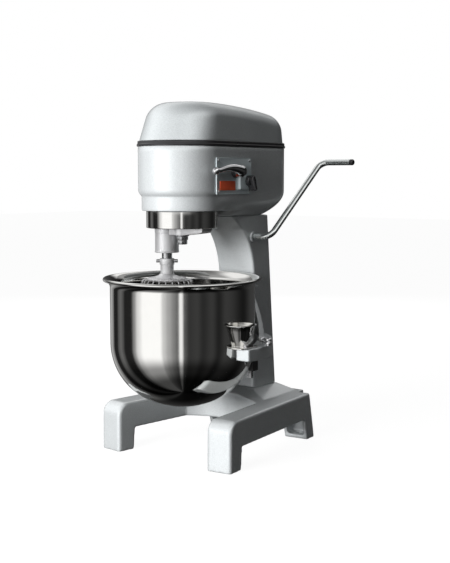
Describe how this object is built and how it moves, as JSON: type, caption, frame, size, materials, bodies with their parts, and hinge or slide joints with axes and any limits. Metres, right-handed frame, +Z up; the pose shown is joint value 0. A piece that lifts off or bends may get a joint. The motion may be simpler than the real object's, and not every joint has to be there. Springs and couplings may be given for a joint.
{
  "type": "planetary stand mixer",
  "caption": "Commercial planetary stand mixer with a cast base, column and head, a steel bowl on a lever-raised yoke, a wire whisk, a gear lever and a rotary switch.",
  "frame": {"origin": "on the floor, under the middle of the machine's bounding box", "axes": "+Z up, the bowl towards -Y and the column and cable entry towards +Y, the controls and the lift lever on +X"},
  "size_m": [0.4318, 0.5852, 0.7801],
  "materials": {
    "cast_paint": "gloss silver-grey paint on iron castings",
    "cover_paint": "gloss silver-grey paint on sheet and die-cast covers",
    "gasket_rubber": "satin black",
    "polished_steel": "mirror polished stainless",
    "chrome": "bright chrome",
    "bright_steel": "ground steel",
    "screw_steel": "bright zinc",
    "gear_steel": "machined gear steel",
    "bearing_steel": "ground bearing rings",
    "motor_alloy": "finned housing",
    "pulley_alloy": "turned",
    "cast_alloy": "cast and turned",
    "belt_rubber": "satin",
    "guide_black": "satin black",
    "plate_grey": "satin grey plate",
    "label_red": "gloss red-orange",
    "black_plastic": "semi-gloss black",
    "knob_plastic": "gloss black",
    "bronze": "sintered bronze"
  },
  "bodies": {
    "machine_frame": {"base_casting": "cast_paint", "column_casting": "cast_paint", "column_bolts": "screw_steel", "column_back_cover": "cover_paint", "column_cover_screws": "screw_steel", "slide_ways": "bright_steel", "head_casting": "cast_paint", "cover_gasket": "gasket_rubber", "head_cover": "cover_paint", "drive_plate": "bright_steel", "drive_plate_bolts": "screw_steel", "main_shaft_bearings": "bearing_steel", "countershaft_bearings": "bearing_steel", "ring_gear": "gear_steel", "motor_body": "motor_alloy", "drive_belt": "belt_rubber", "lever_bush": "cast_paint", "control_plate": "plate_grey", "control_plate_screws": "screw_steel", "label_plate": "label_red", "switch_box": "plate_grey", "gear_lever_boss": "black_plastic", "fork_guide_rod": "bright_steel", "cable_gland": "black_plastic"},
    "planetary": {"main_shaft": "bright_steel", "main_gear": "gear_steel", "planetary_carrier": "cast_alloy", "drip_ring": "polished_steel", "carrier_washer": "screw_steel", "carrier_nut": "screw_steel", "agitator_bearings": "bearing_steel"},
    "agitator": {"agitator_shaft": "bright_steel", "agitator_pinion": "gear_steel", "bayonet_pin": "bright_steel", "whisk_hub": "cast_alloy", "whisk_disc": "cast_alloy", "whisk_wires": "bright_steel"},
    "layshaft": {"countershaft": "bright_steel", "countershaft_pinion": "gear_steel", "driven_pulley": "pulley_alloy"},
    "motor_rotor": {"motor_shaft": "bright_steel", "motor_pulley": "pulley_alloy"},
    "collar": {"shift_collar": "gear_steel"},
    "fork": {"shift_fork": "bronze"},
    "speed_lever": {"gear_lever": "chrome", "gear_lever_knob": "chrome", "shift_crank": "bright_steel"},
    "switch": {"switch_knob": "knob_plastic"},
    "yoke": {"bowl_yoke": "cast_paint", "locating_pins": "bright_steel", "guide_blocks": "guide_black", "clamp_screws": "screw_steel", "lift_rod": "bright_steel"},
    "bowl_lift_lever": {"lift_lever": "chrome", "lever_end_cap": "black_plastic", "lift_crank": "bright_steel"},
    "mixing_bowl": {"bowl": "polished_steel", "bowl_ears": "polished_steel"},
    "clamp_right": {"bowl_clamp_right": "bright_steel"},
    "clamp_left": {"bowl_clamp_left": "bright_steel"}
  },
  "joints": [
    {"name": "planetary_spin", "type": "hinge", "parent": "machine_frame", "child": "planetary", "pos_m": [0, -0.1175, 0.5], "axis": [0, 0, 1], "continuous": true},
    {"name": "agitator_spin", "type": "hinge", "parent": "planetary", "child": "agitator", "pos_m": [-0.045, -0.1175, 0.45], "axis": [0, 0, 1], "continuous": true},
    {"name": "layshaft_spin", "type": "hinge", "parent": "machine_frame", "child": "layshaft", "pos_m": [0, -0.0175, 0.64], "axis": [0, 0, 1], "continuous": true},
    {"name": "motor_spin", "type": "hinge", "parent": "machine_frame", "child": "motor_rotor", "pos_m": [0, 0.0825, 0.68], "axis": [0, 0, 1], "continuous": true},
    {"name": "speed_lever_swing", "type": "hinge", "parent": "machine_frame", "child": "speed_lever", "pos_m": [0.106, -0.0575, 0.63], "axis": [1, 0, 0], "range_deg": [-25, 25]},
    {"name": "collar_shift", "type": "slide", "parent": "layshaft", "child": "collar", "axis": [0, 0, 1], "range_m": [-0.0042, 0.0042]},
    {"name": "fork_shift", "type": "slide", "parent": "machine_frame", "child": "fork", "axis": [0, 0, 1], "range_m": [-0.0042, 0.0042]},
    {"name": "switch_turn", "type": "hinge", "parent": "machine_frame", "child": "switch", "pos_m": [0.11, -0.0175, 0.609], "axis": [1, 0, 0], "range_deg": [-30, 60]},
    {"name": "yoke_lift", "type": "slide", "parent": "machine_frame", "child": "yoke", "axis": [0, 0, 1], "range_m": [-0.042, 0]},
    {"name": "lift_lever_swing", "type": "hinge", "parent": "machine_frame", "child": "bowl_lift_lever", "pos_m": [0.05, 0.0731, 0.481], "axis": [1, 0, 0], "range_deg": [-75, 0.5]},
    {"name": "bowl_seat", "type": "slide", "parent": "yoke", "child": "mixing_bowl", "axis": [0, 0, 1], "range_m": [0, 0.01]},
    {"name": "clamp_right_swing", "type": "hinge", "parent": "yoke", "child": "clamp_right", "pos_m": [0.17, -0.0565, 0.267], "axis": [0, 0, 1], "range_deg": [-35, 0]},
    {"name": "clamp_left_swing", "type": "hinge", "parent": "yoke", "child": "clamp_left", "pos_m": [-0.17, -0.0565, 0.267], "axis": [0, 0, -1], "range_deg": [-35, 0]}
  ],
  "couplings": [
    {"joint": "agitator_spin", "follows": "planetary_spin", "ratio": -3.3684},
    {"joint": "layshaft_spin", "follows": "planetary_spin", "ratio": -3},
    {"joint": "motor_spin", "follows": "planetary_spin", "ratio": -6},
    {"joint": "collar_shift", "follows": "speed_lever_swing", "m_per_rad": 0.0087},
    {"joint": "fork_shift", "follows": "speed_lever_swing", "m_per_rad": 0.0087},
    {"joint": "lift_lever_swing", "follows": "yoke_lift", "rad_per_m": 31}
  ]
}
